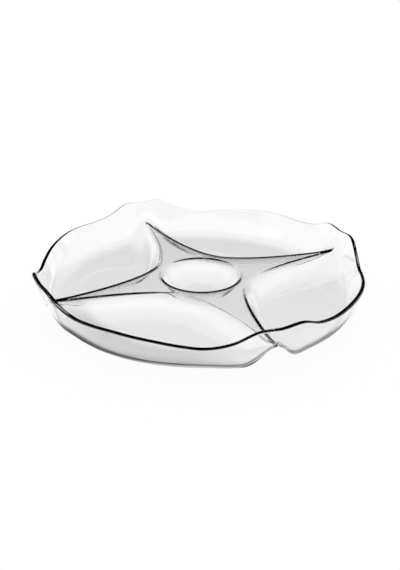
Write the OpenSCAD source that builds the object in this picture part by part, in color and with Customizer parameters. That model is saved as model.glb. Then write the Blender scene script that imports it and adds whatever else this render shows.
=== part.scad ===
// Relish tray of clear moulded glass, in one piece.
// Four pockets lie round a round well. The glass between them stands up in a four-armed star,
// whose arms narrow to thin dividers that run out into the wall. The rim rises in a double wave
// over each divider. The dividers lie on the diagonals, and the tray stands on Z = 0.
// Millimetres, +Z up, origin under the middle of the well.

/* [Rim] */
// Diameter of the middle of the rim, where it is narrowest
rim_d = 315; // [260:1:380]
// How much further out the widest part of the rim lies
rim_flare = 5; // [0:0.5:12]
// Height of the middle of the rim at its lowest
rim_low_h = 26.5; // [25:0.5:40]
// How much higher the crests over the dividers stand
rim_wave_h = 15; // [0:0.5:20]

/* [Glass] */
// Thickness of the glass
glass_t = 3; // [2.5:0.1:4]
// Thickness of the round bead along the rim
rim_t = 4; // [3:0.1:5.5]
// Width in plan of the curve at the wall's foot
wall_curve_w = 22; // [16:1:28]
// How far the wall leans out besides, from its foot to the rim
wall_lean = 4; // [0:0.5:8]
// How tight the curve at the foot is: 2 is a parabola, and more is tighter
wall_power = 5.3; // [3:0.1:6]

/* [Star and pockets] */
// Height of the top of the star and its dividers
star_h = 21.5; // [15:0.5:23]
// Diameter of the well at its edge
well_d = 76; // [60:1:84]
// How near a pocket's edge comes to the middle of the tray
pocket_reach = 52; // [48:1:60]
// Width of the crest of a divider at the wall
crest_w = 4.5; // [4:0.1:7]
// Width in plan of the flank that falls from the star to a pocket's floor
flank_w = 20; // [16:0.5:24]
// How a flank flattens out towards the floor: 1 is a plain slope
flank_power = 2.2; // [1.6:0.1:2.6]
// Half the width in plan of the rounding along the well's edge
well_round = 2.5; // [0.8:0.1:3]
// Half the width in plan of the rounding along the dividers' edges
edge_round = 1.2; // [0.8:0.1:2]
// How much wider the rounding of a pocket's edge is beside the well
edge_soft = 4; // [0:0.5:5]
// Half the width of the swelling that rounds off the pockets' corners where a divider meets the wall
swell_w = 34; // [28:1:40]
// How far in from the rim the swelling starts
swell_l = 60; // [45:1:70]

/* [Hidden] */

glass_colour = [0.86, 0.90, 0.89, 0.6];
dividers = 4;
quarter = 360 / dividers;
first_divider = quarter / 2;

rim_r = rim_d / 2;
well_r = well_d / 2;
crest_half = crest_w / 2;
rim_round = rim_t / 2;

wall_w = wall_curve_w + wall_lean;

// How the swelling joins the star, and how the wall joins both: a higher power is a sharper corner
swell_blend = 8;
wall_blend = 1.8;
rim_fade = 6;

// How high the swelling stands at the rim, as a share of the star, and how its sides flatten out
swell_rise_share = 1.08;
swell_power = 3;

// How far the underside of a flank lies inside its top side, for a flank of this steepness
flank_slope = atan(flank_power * (star_h - glass_t) / flank_w);
flank_shift = glass_t * tan(flank_slope / 2);

// One quarter turn of the rim in equal steps, from one divider to the next:
// its rise as a share of rim_wave_h, and its reach outwards as a share of rim_flare
rise_shares = [0.93, 1, 0.5, 0.33, 0.38, 0.43, 0.37, 0.26, 0.09, 0, 0.32, 0.97];
reach_shares = [0.8, 0.8, 0.35, 0.3, 0.4, 0.4, 0.3, 0.15, 0, 0, 0.5, 1];

// Where the rings of the surface lie: across the well, across a pocket and up the wall
well_ring_shares = [0.35, 0.55, 0.7, 0.82, 0.92, 1];
pocket_ring_shares = [0, 0.035, 0.08, 0.14, 0.21, 0.3, 0.4, 0.52, 0.66, 0.82];
wall_ring_shares = [0, 0.25, 0.42, 0.56, 0.68, 0.78, 0.86, 0.93, 1];
rim_ring_angles = [150, 120, 90, 60, 30];

// Steps round half a quarter, closer together near the divider
half_steps = 12;
step_power = 1.5;

function mix(a, b, share) = a + (b - a) * share;

// A smooth curve through a closed list of shares, at a place counted in steps
function share_at(shares, place) =
    let (n = len(shares), k = floor(place), t = place - k)
    let (a = shares[(k + n - 1) % n], b = shares[k % n], c = shares[(k + 1) % n], d = shares[(k + 2) % n])
    b + t * ((c - a) + t * ((2 * a - 5 * b + 4 * c - d) + t * (3 * b - a - 3 * c + d))) / 2;

// The same, at an angle past a divider
function share_past(shares, angle) =
    share_at(shares, (angle % quarter) / quarter * len(shares));

function rim_radius(angle) = rim_r + rim_flare * share_past(reach_shares, angle);
function rim_height(angle) = rim_low_h + rim_wave_h * share_past(rise_shares, angle);

// A pocket's edge is a hyperbola round the pocket's own axis. It passes the well at pocket_reach,
// and at the foot of the wall it leaves half a crest on its side of the divider.
wall_foot = rim_r - wall_w / 2;
foot_along = (wall_foot - crest_half) / sqrt(2);
foot_out = (wall_foot + crest_half) / sqrt(2) - pocket_reach;
pocket_bend = (foot_along * foot_along - foot_out * foot_out) / (2 * foot_out);

// Distance from the pocket's edge at a radius and an angle past a divider, positive in the pocket
function into_pocket(r, angle) =
    let (off_axis = angle % quarter - quarter / 2)
    let (out = r * cos(off_axis), along = r * sin(off_axis))
    let (bend = sqrt(along * along + pocket_bend * pocket_bend))
    (out - (bend - pocket_bend + pocket_reach)) / sqrt(1 + pow(along / bend, 2));

// Half the width of the rounding along a pocket's edge, at an angle past a divider
function pocket_edge_round(angle) = edge_round + edge_soft * pow(cos(2 * (angle % quarter) - quarter), 2);

// Horizontal distance down a flank, with the edge rounded off
function past_edge(d, round) = d <= -round ? 0 : d >= round ? d : pow(d + round, 2) / (4 * round);

// How far a flank has fallen at a distance from its edge, from 0 at the top to 1 at the floor
function fallen(d, round) = 1 - pow(max(0, 1 - past_edge(d, round) / flank_w), flank_power);

function blended(a, b, power) = pow(pow(a, power) + pow(b, power), 1 / power);

function smooth_step(share) = let (s = min(1, max(0, share))) s * s * (3 - 2 * s);

// The swelling at a divider's outer end, as a share of the star's height
function swelling(r, angle, shift) =
    let (from_divider = abs(r * sin((angle + quarter / 2) % quarter - quarter / 2)))
    let (across = min(1, from_divider / (swell_w - shift)))
    let (near_rim = smooth_step((r - rim_radius(angle) + swell_l) / swell_l))
    swell_rise_share * pow(1 - across * across, swell_power) * near_rim;

// Height of the star and its dividers over the floor, before the wall rises out of it
function bed(r, angle, height, shift) =
    let (into_a_pocket = fallen(into_pocket(r, angle) + shift, pocket_edge_round(angle)))
    let (into_well = fallen(well_r - r + shift, well_round))
    height * blended(1 - max(into_a_pocket, into_well), swelling(r, angle, shift), swell_blend);

// Radius on the inside of the wall (side -1) or its outside (side 1), up from the foot
function wall_radius(angle, share, side) =
    let (foot = rim_radius(angle) - rim_round - wall_w, rim = rim_radius(angle) + side * rim_round)
    mix(foot + wall_lean, rim, share) - wall_lean * (1 - pow(share, wall_power));

// The wall's own height and the bed's, blended at the foot, and the wall's alone at the rim
function wall_point(angle, share, side, height, floor_z, shift) =
    let (r = wall_radius(angle, share, side))
    let (wall = (rim_height(angle) - floor_z) * pow(share, wall_power))
    let (joined = blended(wall, bed(r, angle, height, shift), wall_blend))
    [r, floor_z + mix(joined, wall, pow(share, rim_fade))];

// Radius and height of every ring at one angle past a divider, from the middle outwards
function side_profile(angle, side, height, floor_z, shift) =
    let (foot = wall_radius(angle, 0, side))
    let (flat_radii = concat(
        [for (s = well_ring_shares) s * well_r],
        [well_r + well_round, mix(well_r + well_round, pocket_reach, 0.5)],
        [for (s = pocket_ring_shares) mix(pocket_reach, foot, s)]))
    concat(
        [for (r = flat_radii) [r, floor_z + bed(r, angle, height, shift)]],
        [for (s = wall_ring_shares) wall_point(angle, s, side, height, floor_z, shift)]);

function rim_profile(angle) =
    [for (turn = rim_ring_angles)
        [rim_radius(angle) + rim_round * cos(turn), rim_height(angle) + rim_round * sin(turn)]];

function reversed(list) = [for (k = [len(list) - 1 : -1 : 0]) list[k]];

// The whole section at one angle: over the top, round the rim and back under
function section(angle) = concat(
    side_profile(angle, -1, star_h - glass_t, glass_t, 0),
    rim_profile(angle),
    reversed(side_profile(angle, 1, star_h - glass_t, 0, flank_shift)));

half_angles = [for (k = [0 : half_steps]) quarter / 2 * pow(k / half_steps, step_power)];
quarter_angles = concat(
    [for (k = [0 : half_steps]) half_angles[k]],
    [for (k = [half_steps - 1 : -1 : 1]) quarter - half_angles[k]]);
angles = [for (q = [0 : dividers - 1], a = quarter_angles) q * quarter + a];

module tray() {
    sections = [for (a = angles) section(a)];
    around = len(angles);
    rings = len(sections[0]);
    ring_points = [for (k = [0 : rings - 1], j = [0 : around - 1])
        let (turn = first_divider + angles[j], p = sections[j][k])
        [p[0] * cos(turn), p[0] * sin(turn), p[1]]];
    last = len(ring_points) + 1;
    points = concat([[0, 0, glass_t]], ring_points, [[0, 0, 0]]);
    top_fan = [for (j = [0 : around - 1]) [0, 1 + (j + 1) % around, 1 + j]];
    // Each square is cut along the diagonal that runs with the pocket's edge
    bands = [for (k = [0 : rings - 2], j = [0 : around - 1])
        let (here = 1 + k * around, next = here + around, m = (j + 1) % around)
        let (on_top = k < rings / 2, before_axis = j % len(quarter_angles) < half_steps)
        each on_top != before_axis
            ? [[here + j, here + m, next + m], [here + j, next + m, next + j]]
            : [[here + j, here + m, next + j], [here + m, next + m, next + j]]];
    under_fan = [for (j = [0 : around - 1])
        [last - around + j, last - around + (j + 1) % around, last]];
    color(glass_colour)
        polyhedron(points, concat(top_fan, bands, under_fan), convexity = 8);
}

tray();
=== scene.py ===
"""A relish tray of clear moulded glass on a pale floor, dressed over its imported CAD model."""

import math

import bpy
import numpy as np
from mathutils import Matrix, Vector


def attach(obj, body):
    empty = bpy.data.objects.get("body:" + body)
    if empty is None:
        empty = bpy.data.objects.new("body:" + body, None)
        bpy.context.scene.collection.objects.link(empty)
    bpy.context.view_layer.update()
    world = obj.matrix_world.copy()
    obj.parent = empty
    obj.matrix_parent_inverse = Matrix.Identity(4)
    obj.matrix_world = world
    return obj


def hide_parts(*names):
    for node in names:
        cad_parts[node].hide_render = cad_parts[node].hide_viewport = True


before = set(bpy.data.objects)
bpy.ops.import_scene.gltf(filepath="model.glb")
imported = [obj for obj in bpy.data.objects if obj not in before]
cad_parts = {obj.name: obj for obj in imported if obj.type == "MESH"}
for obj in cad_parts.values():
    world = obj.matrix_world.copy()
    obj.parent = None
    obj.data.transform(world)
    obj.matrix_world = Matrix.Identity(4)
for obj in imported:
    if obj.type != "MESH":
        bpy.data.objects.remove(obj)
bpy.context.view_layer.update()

# The sizes below are in millimetres, and the scene is in metres
MM = 0.001

# The same as in the CAD model
RIM_D = 315
RIM_FLARE = 5
RIM_LOW_H = 26.5
RIM_WAVE_H = 15
GLASS_T = 3
RIM_T = 4
WALL_CURVE_W = 22
WALL_LEAN = 4
WALL_POWER = 5.3
STAR_H = 21.5
WELL_D = 76
POCKET_REACH = 52
CREST_W = 4.5
FLANK_W = 20
FLANK_POWER = 2.2
WELL_ROUND = 2.5
EDGE_ROUND = 1.2
EDGE_SOFT = 4
SWELL_W = 34
SWELL_L = 60

# How the swelling and the wall join what lies under them, also as in the CAD model
SWELL_RISE_SHARE = 1.08
SWELL_POWER = 3
SWELL_BLEND = 8
WALL_BLEND = 1.8
RIM_FADE = 6

DIVIDERS = 4
QUARTER = 360 / DIVIDERS
FIRST_DIVIDER = QUARTER / 2

# One quarter turn of the rim in equal steps from one divider to the next, as in the CAD model:
# its rise as a share of RIM_WAVE_H, and its reach outwards as a share of RIM_FLARE
RISE_SHARES = np.array([0.93, 1, 0.5, 0.33, 0.38, 0.43, 0.37, 0.26, 0.09, 0, 0.32, 0.97])
REACH_SHARES = np.array([0.8, 0.8, 0.35, 0.3, 0.4, 0.4, 0.3, 0.15, 0, 0, 0.5, 1])

RIM_R = RIM_D / 2
WELL_R = WELL_D / 2
RIM_ROUND = RIM_T / 2
WALL_W = WALL_CURVE_W + WALL_LEAN

# How far the underside of a flank lies inside its top side
FLANK_SLOPE = math.atan(FLANK_POWER * (STAR_H - GLASS_T) / FLANK_W)
FLANK_SHIFT = GLASS_T * math.tan(FLANK_SLOPE / 2)

# A pocket's edge is a hyperbola that passes the well at POCKET_REACH and meets the dividers' crests
WALL_FOOT = RIM_R - WALL_W / 2
FOOT_ALONG = (WALL_FOOT - CREST_W / 2) / math.sqrt(2)
FOOT_OUT = (WALL_FOOT + CREST_W / 2) / math.sqrt(2) - POCKET_REACH
POCKET_BEND = (FOOT_ALONG**2 - FOOT_OUT**2) / (2 * FOOT_OUT)

# The mesh: rings from the middle to the wall's foot, closer together at the well's edge, then up
# the wall and over the rim, and lines across them, closer together near the dividers
WELL_EDGE_PLACES = (0.26, 0.33)
WELL_RINGS = 10
WELL_EDGE_RINGS = 22
POCKET_RINGS = 68
WALL_RINGS = 28
RIM_RINGS = 7
HALF_STEPS = 72
STEP_POWER = 1.5

# How far off the points lie that the normals come from: in place or turn, and in degrees
NEAR_PLACE = 0.0001
NEAR_ANGLE = 0.005

# The camera, as fitted to the photograph, in degrees and metres. Its turn is counted from looking
# along +Y, and the tray's front, the side that faces it, from +X.
VIEW_TURN = 20.42
FRONT_SIDE = VIEW_TURN - 90
VIEW_ELEVATION = 25.86
VIEW_ROLL = -0.668
VIEW_DISTANCE = 0.8173
# The point that it looks at: its height over the table, then how far to the view's right and up
AIM_H = 0.0086
AIM_RIGHT = -0.00077
AIM_UP = 0.0005
SENSOR_H = 36
LENS = 51.6

# Below, two numbers say where a tint, a shade or a light fades: where it is nothing and where full

# The glass: clear, and a little greyer on the star, a painted shade, by height as a share of the
# star's and by place
CLEAR = (0.985, 0.987, 0.983)
STAR_SHADE_TINT = (0.90, 0.903, 0.895)
STAR_SHADE_HEIGHTS = (0.6, 1)
STAR_SHADE_PLACES = (1.05, 0.9)
GLASS_IOR = 1.5

# The faint waviness that moulding leaves: waves to a metre, and their height in metres
WAVE_SCALE = 40
WAVE_HEIGHT = 0.0001

# The floor: fine rings under the tray and one far out, just below the tray's underside
FLOOR_SPOKES = 240
FLOOR_RINGS = 120
FLOOR_FIRST_R = 2
FLOOR_FINE_R = 180
FLOOR_FAR_R = 6000
FLOOR_Z = -0.2

# How white the floor looks by itself, and the grey that takes the light and the tray's shadow
FLOOR_GLOW = 0.92
FLOOR_GREY = 0.8

# The shade painted on the floor, by radius and by the cosine of the angle from the tray's front:
# a wide one under the front wall, turned towards the left, and a dark one along the wall's foot
WALL_SHADE = 0.29
WALL_SHADE_IN = (108, 122)
WALL_SHADE_OUT = (158, 146)
WALL_SHADE_TURN = 70
WALL_SHADE_COSINES = (-0.1, 0.5)
FOOT_SHADE = 0.72
FOOT_SHADE_IN = (142, 147)
FOOT_SHADE_OUT = (160, 154)
FRONT_COSINES = (0.1, 0.6)

# What the glass mirrors and bends in a dark room: a white card behind the camera, and one at each
# side. Their edges are given along a direction of length 1, turned as the view is.
CARD = 0.8
CARD_BOTTOM = (0.2, 0.35)
CARD_TOP = (0.85, 0.7)
CARD_FRONT = (-0.2, -0.5)
SIDE_CARDS = 0.6
SIDE_EDGE = (0.6, 0.8)
SIDE_TOP = (0.7, 0.5)

# The light on the floor, from the front to the back
LIGHT_DEPTHS = (-0.6, 0.8)
LIGHT = (0.7, 2)

WHITE = (1, 1, 1, 1)


def share_past(shares, angle):
    """A smooth curve through a closed list of shares, at an angle past a divider."""
    place = (angle % QUARTER) / QUARTER * len(shares)
    step = np.floor(place).astype(int)
    t = place - step
    a, b, c, d = (shares[(step + k) % len(shares)] for k in (-1, 0, 1, 2))
    return b + t * ((c - a) + t * ((2 * a - 5 * b + 4 * c - d) + t * (3 * b - a - 3 * c + d))) / 2


def rim_radius(angle):
    return RIM_R + RIM_FLARE * share_past(REACH_SHARES, angle)


def rim_height(angle):
    return RIM_LOW_H + RIM_WAVE_H * share_past(RISE_SHARES, angle)


def into_pocket(r, angle):
    """Distance from the pocket's edge, positive inside the pocket."""
    off_axis = np.radians(angle % QUARTER - QUARTER / 2)
    out, along = r * np.cos(off_axis), r * np.sin(off_axis)
    bend = np.sqrt(along**2 + POCKET_BEND**2)
    return (out - (bend - POCKET_BEND + POCKET_REACH)) / np.sqrt(1 + (along / bend) ** 2)


def pocket_edge_round(angle):
    """Half the width of the rounding along a pocket's edge: wider away from the dividers."""
    return EDGE_ROUND + EDGE_SOFT * np.cos(np.radians(2 * (angle % QUARTER) - QUARTER)) ** 2


def fallen(d, edge):
    """How far a flank has fallen at a distance from its edge: 0 at the top, 1 at the floor."""
    rounded = np.clip(d + edge, 0, 2 * edge) ** 2 / (4 * edge)
    past_edge = np.where(d >= edge, d, rounded)
    return 1 - np.maximum(0, 1 - past_edge / FLANK_W) ** FLANK_POWER


def blended(a, b, power):
    return (a**power + b**power) ** (1 / power)


def fade(value, nothing, full):
    """A smooth change from 0 to 1 between two numbers, either of which may be the larger."""
    s = np.clip((value - nothing) / (full - nothing), 0, 1)
    return s * s * (3 - 2 * s)


def swelling(r, angle, shift):
    """The swelling at a divider's outer end, as a share of the star's height."""
    from_divider = abs(r * np.sin(np.radians((angle + QUARTER / 2) % QUARTER - QUARTER / 2)))
    across = np.minimum(1, from_divider / (SWELL_W - shift))
    near_rim = fade(r - rim_radius(angle), -SWELL_L, 0)
    return SWELL_RISE_SHARE * (1 - across**2) ** SWELL_POWER * near_rim


def bed(r, angle, height, shift):
    """Height of the star and its dividers over the floor, before the wall rises out of it."""
    in_pocket = fallen(into_pocket(r, angle) + shift, pocket_edge_round(angle))
    in_well = fallen(WELL_R - r + shift, WELL_ROUND)
    down = np.maximum(in_pocket, in_well)
    return height * blended(1 - down, swelling(r, angle, shift), SWELL_BLEND)


def shift_of(side):
    """How far inwards the flanks lie on the inside (side -1) and on the outside (side 1)."""
    return FLANK_SHIFT if side > 0 else 0


def surface(place, angle, side):
    """Radius and height on the inside (side -1) or the outside (side 1).

    The place runs from 0 in the middle of the tray to 1 at the wall's foot and 2 at the rim.
    """
    floor_z = GLASS_T if side < 0 else 0
    foot = rim_radius(angle) - RIM_ROUND - WALL_W
    rim = rim_radius(angle) + side * RIM_ROUND
    up = np.clip(place - 1, 0, 1)
    out = foot + WALL_LEAN + (rim - foot - WALL_LEAN) * up - WALL_LEAN * (1 - up**WALL_POWER)
    r = np.where(place < 1, place * foot, out)
    wall = (rim_height(angle) - floor_z) * up**WALL_POWER
    joined = blended(wall, bed(r, angle, STAR_H - GLASS_T, shift_of(side)), WALL_BLEND)
    return r, floor_z + joined + (wall - joined) * up**RIM_FADE


def top_side(place, angle):
    return surface(place, angle, -1)


def underside(place, angle):
    return surface(place, angle, 1)


def rim_bead(turn, angle):
    """Radius and height on the rim's bead, from its inner side (turn pi) to its outer (turn 0)."""
    r = rim_radius(angle) + RIM_ROUND * np.cos(turn)
    return r, rim_height(angle) + RIM_ROUND * np.sin(turn)


def in_space(r, z, angle):
    """Points from columns of radii and heights and a row of angles past the first divider."""
    theta = np.radians(angle + FIRST_DIVIDER)
    return np.stack([r * np.cos(theta), r * np.sin(theta), z + 0 * theta], axis=-1)


def points_and_normals(shape, places, angle, step):
    """Points of a curved surface, and its normals, worked out from the points close by.

    The step has the sign with which the places change from ring to ring: outwards over the top
    side and the rim, then back inwards under the tray.
    """

    def point(near_place, near_angle):
        return in_space(*shape(near_place, near_angle), near_angle)

    along = point(places + step, angle) - point(places - step, angle)
    across = point(places, angle + NEAR_ANGLE) - point(places, angle - NEAR_ANGLE)
    normals = np.cross(along, across)
    return point(places, angle), normals / np.linalg.norm(normals, axis=-1, keepdims=True)


def mesh_lines():
    """The places of the rings, their turns over the bead, and the angles of the lines across."""
    places = np.concatenate([
        np.linspace(0, WELL_EDGE_PLACES[0], WELL_RINGS)[1:],
        np.linspace(*WELL_EDGE_PLACES, WELL_EDGE_RINGS)[1:],
        np.linspace(WELL_EDGE_PLACES[1], 1, POCKET_RINGS)[1:-1],
        np.linspace(1, 2, WALL_RINGS),
    ])
    turns = np.linspace(math.pi, 0, RIM_RINGS + 2)[1:-1]
    half = QUARTER / 2 * (np.arange(HALF_STEPS + 1) / HALF_STEPS) ** STEP_POWER
    quarter = np.concatenate([half, QUARTER - half[-2:0:-1]])
    angle = np.concatenate([quarter + QUARTER * k for k in range(DIVIDERS)])
    return places[:, None], turns[:, None], angle[None, :]


def ring_faces(rings, around, closed):
    """Squares between rings of points, and a fan to the first point and, if closed, the last."""
    pairs = [(1 + j, 1 + (j + 1) % around) for j in range(around)]
    outer = (rings - 1) * around
    faces = [(0, a, b) for a, b in pairs]
    for low in range(0, outer, around):
        high = low + around
        faces += [(low + a, high + a, high + b, low + b) for a, b in pairs]
    if closed:
        last = 1 + rings * around
        faces += [(outer + b, outer + a, last) for a, b in pairs]
    return faces


def new_mesh(name, points, faces, attribute, values):
    """A mesh from points in millimetres, with a number at every point."""
    mesh = bpy.data.meshes.new(name)
    mesh.from_pydata((points * MM).tolist(), [], faces)
    mesh.attributes.new(attribute, "FLOAT", "POINT").data.foreach_set("value", values)
    return mesh


def star_shade_share(places, angle, side):
    """How much of the painted shade on the star the glass has at each point."""
    r, _ = surface(places, angle, side)
    return fade(bed(r, angle, 1, shift_of(side)), *STAR_SHADE_HEIGHTS) * fade(places, *STAR_SHADE_PLACES)


def glass_mesh():
    """The tray as a closed shell of rings, from the middle over the rim to the underside."""
    places, turns, angle = mesh_lines()
    inwards = places[::-1]
    top, top_normals = points_and_normals(top_side, places, angle, NEAR_PLACE)
    rim, rim_normals = points_and_normals(rim_bead, turns, angle, -NEAR_PLACE)
    under, under_normals = points_and_normals(underside, inwards, angle, -NEAR_PLACE)
    rings = np.vstack([top, rim, under])
    ring_normals = np.vstack([top_normals, rim_normals, under_normals])
    points = np.vstack([[[0, 0, GLASS_T]], rings.reshape(-1, 3), [[0, 0, 0]]])
    normals = np.vstack([[[0, 0, 1]], ring_normals.reshape(-1, 3), [[0, 0, -1]]])
    # The painted shade on the star, as a share at each point; none on the rim's bead
    star = np.concatenate([
        [0],
        star_shade_share(places, angle, -1).ravel(),
        np.zeros(turns.size * angle.size),
        star_shade_share(inwards, angle, 1).ravel(),
        [0],
    ])
    mesh = new_mesh("glass_tray", points, ring_faces(len(rings), angle.size, True), "star", star)
    mesh.polygons.foreach_set("use_smooth", [True] * len(mesh.polygons))
    mesh.normals_split_custom_set_from_vertices(normals.tolist())
    mesh.update()
    return mesh


def set_inputs(tree, node, inputs):
    """Sets a node's inputs by name or number, each to a value or to another node's output."""
    for name, value in inputs.items():
        if isinstance(value, bpy.types.NodeSocket):
            tree.links.new(value, node.inputs[name])
        else:
            node.inputs[name].default_value = value


def new_node(tree, kind, inputs, **settings):
    node = tree.nodes.new(kind)
    for name, value in settings.items():
        setattr(node, name, value)
    set_inputs(tree, node, inputs)
    return node


def math_node(tree, operation, *values):
    return new_node(tree, "ShaderNodeMath", dict(enumerate(values)), operation=operation).outputs[0]


def fade_node(tree, value, nothing, full, at_nothing=0, at_full=1):
    """A smooth change from one level to another, as fade() does it."""
    inputs = {
        "Value": value,
        "From Min": nothing,
        "From Max": full,
        "To Min": at_nothing,
        "To Max": at_full,
    }
    node = new_node(tree, "ShaderNodeMapRange", inputs, interpolation_type="SMOOTHSTEP")
    return node.outputs["Result"]


def mix_shaders(tree, share, first, second):
    return new_node(tree, "ShaderNodeMixShader", {0: share, 1: first, 2: second}).outputs[0]


def ray_kinds(tree):
    """Whether a ray comes from the camera, and whether the glass has mirrored or bent it."""
    path = new_node(tree, "ShaderNodeLightPath", {}).outputs
    bent = math_node(tree, "MAXIMUM", path["Is Glossy Ray"], path["Is Transmission Ray"])
    no_bounce = math_node(tree, "LESS_THAN", path["Diffuse Depth"], 1)
    return path["Is Camera Ray"], math_node(tree, "MULTIPLY", bent, no_bounce)


def clear_glass():
    """Clear pressed glass with a slight grey cast, a painted shade on the star, and the faint
    waviness that moulding leaves.
    """
    material = bpy.data.materials.new("clear_glass")
    material.use_nodes = True
    tree = material.node_tree
    # The painted shade greys the glass on the star
    star = new_node(tree, "ShaderNodeAttribute", {}, attribute_name="star").outputs["Fac"]
    colours = {"Factor": star, "A": (*CLEAR, 1), "B": (*STAR_SHADE_TINT, 1)}
    tint = new_node(tree, "ShaderNodeMix", colours, data_type="RGBA").outputs["Result"]
    place = new_node(tree, "ShaderNodeTexCoord", {}).outputs["Object"]
    waves = {"Vector": place, "Scale": WAVE_SCALE, "Detail": 1}
    height = new_node(tree, "ShaderNodeTexNoise", waves).outputs["Fac"]
    bump = new_node(tree, "ShaderNodeBump", {"Height": height, "Distance": WAVE_HEIGHT})
    set_inputs(tree, tree.nodes["Principled BSDF"], {
        "Base Color": tint,
        "Normal": bump.outputs["Normal"],
        "Transmission Weight": 1,
        "IOR": GLASS_IOR,
        "Roughness": 0,
    })
    return material


def floor_shade(r, angle):
    """How much darker the floor is in front, under the wall and where the wall's foot meets it."""
    from_front = np.radians(angle + FIRST_DIVIDER - FRONT_SIDE)
    in_front = fade(np.cos(from_front), *FRONT_COSINES)
    from_left = from_front + math.radians(WALL_SHADE_TURN)
    on_left = fade(np.cos(from_left), *WALL_SHADE_COSINES)
    under_wall = fade(r, *WALL_SHADE_IN) * fade(r, *WALL_SHADE_OUT)
    at_foot = fade(r, *FOOT_SHADE_IN) * fade(r, *FOOT_SHADE_OUT)
    return WALL_SHADE * on_left * np.sqrt(in_front) * under_wall + FOOT_SHADE * in_front * at_foot


def floor_material():
    """White to the camera and in the glass, with the painted shade seen only in the glass."""
    material = bpy.data.materials.new("floor")
    material.use_nodes = True
    tree = material.node_tree
    tree.nodes.clear()
    from_camera, bent = ray_kinds(tree)
    shade = new_node(tree, "ShaderNodeAttribute", {}, attribute_name="shade").outputs["Fac"]
    seen_shade = math_node(tree, "MULTIPLY", shade, bent)
    strength = math_node(tree, "SUBTRACT", 1, seen_shade)
    glow = new_node(tree, "ShaderNodeEmission", {"Strength": strength}).outputs[0]
    grey = (FLOOR_GREY, FLOOR_GREY, FLOOR_GREY, 1)
    diffuse = new_node(tree, "ShaderNodeBsdfDiffuse", {"Color": grey}).outputs[0]
    seen = math_node(tree, "MULTIPLY", math_node(tree, "MAXIMUM", from_camera, bent), FLOOR_GLOW)
    surface_shader = mix_shaders(tree, seen, diffuse, glow)
    new_node(tree, "ShaderNodeOutputMaterial", {"Surface": surface_shader})
    return material


def new_object(name, data):
    thing = bpy.data.objects.new(name, data)
    bpy.context.collection.objects.link(thing)
    return thing


def add_floor():
    angle = np.linspace(0, 360, FLOOR_SPOKES, endpoint=False)[None, :]
    r = np.append(np.linspace(FLOOR_FIRST_R, FLOOR_FINE_R, FLOOR_RINGS), FLOOR_FAR_R)[:, None]
    points = np.vstack([[[0, 0, 0]], in_space(r, 0 * r, angle).reshape(-1, 3)])
    shade = np.append([0], floor_shade(r, angle).ravel())
    mesh = new_mesh("floor", points, ring_faces(r.size, angle.size, False), "shade", shade)
    mesh.materials.append(floor_material())
    floor = new_object("floor", mesh)
    floor.location.z = FLOOR_Z * MM


def add_world():
    """White to the camera, soft light on the floor, and for the glass a dark room with cards."""
    world = bpy.data.worlds.new("studio")
    bpy.context.scene.world = world
    world.use_nodes = True
    tree = world.node_tree
    tree.nodes.clear()

    def background(strength):
        inputs = {"Color": WHITE, "Strength": strength}
        return new_node(tree, "ShaderNodeBackground", inputs).outputs[0]

    direction = new_node(tree, "ShaderNodeTexCoord", {}).outputs["Generated"]
    turn = {"Vector": direction, "Angle": -math.radians(VIEW_TURN)}
    turned = new_node(tree, "ShaderNodeVectorRotate", turn, rotation_type="Z_AXIS").outputs[0]
    sideways, depth, height = new_node(tree, "ShaderNodeSeparateXYZ", {0: turned}).outputs

    over_bottom = fade_node(tree, height, *CARD_BOTTOM)
    under_top = fade_node(tree, height, *CARD_TOP)
    card_band = math_node(tree, "MULTIPLY", over_bottom, under_top)
    card = math_node(tree, "MULTIPLY", card_band, fade_node(tree, depth, *CARD_FRONT, 0, CARD))
    side_band = fade_node(tree, math_node(tree, "ABSOLUTE", sideways), *SIDE_EDGE, 0, SIDE_CARDS)
    side_cards = math_node(tree, "MULTIPLY", side_band, fade_node(tree, height, *SIDE_TOP))
    in_glass = background(math_node(tree, "ADD", card, side_cards))
    on_floor = background(fade_node(tree, depth, *LIGHT_DEPTHS, *LIGHT))

    from_camera, bent = ray_kinds(tree)
    not_camera = mix_shaders(tree, bent, on_floor, in_glass)
    seen = mix_shaders(tree, from_camera, not_camera, background(1))
    new_node(tree, "ShaderNodeOutputWorld", {"Surface": seen})


def add_camera():
    """The photograph's view."""
    elevation, roll = math.radians(VIEW_ELEVATION), math.radians(VIEW_ROLL)
    to_world = Matrix.Rotation(math.radians(VIEW_TURN), 3, "Z")
    right = to_world @ Vector((1, 0, 0))
    back = to_world @ Vector((0, -math.cos(elevation), math.sin(elevation)))
    up = back.cross(right)
    target = Vector((0, 0, AIM_H)) + right * AIM_RIGHT + up * AIM_UP
    x_axis = math.cos(roll) * right - math.sin(roll) * up
    y_axis = math.sin(roll) * right + math.cos(roll) * up
    data = bpy.data.cameras.new("camera")
    data.sensor_fit = "VERTICAL"
    data.sensor_height = SENSOR_H
    data.lens = LENS
    camera = new_object("camera", data)
    turned = Matrix((x_axis, y_axis, back)).transposed().to_4x4()
    camera.matrix_world = Matrix.Translation(target + back * VIEW_DISTANCE) @ turned
    bpy.context.scene.camera = camera


add_camera()
add_world()
add_floor()

tray = new_object("glass_tray", glass_mesh())
tray.data.materials.append(clear_glass())
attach(tray, "root")
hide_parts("tray")

bpy.context.scene.view_settings.view_transform = "Standard"
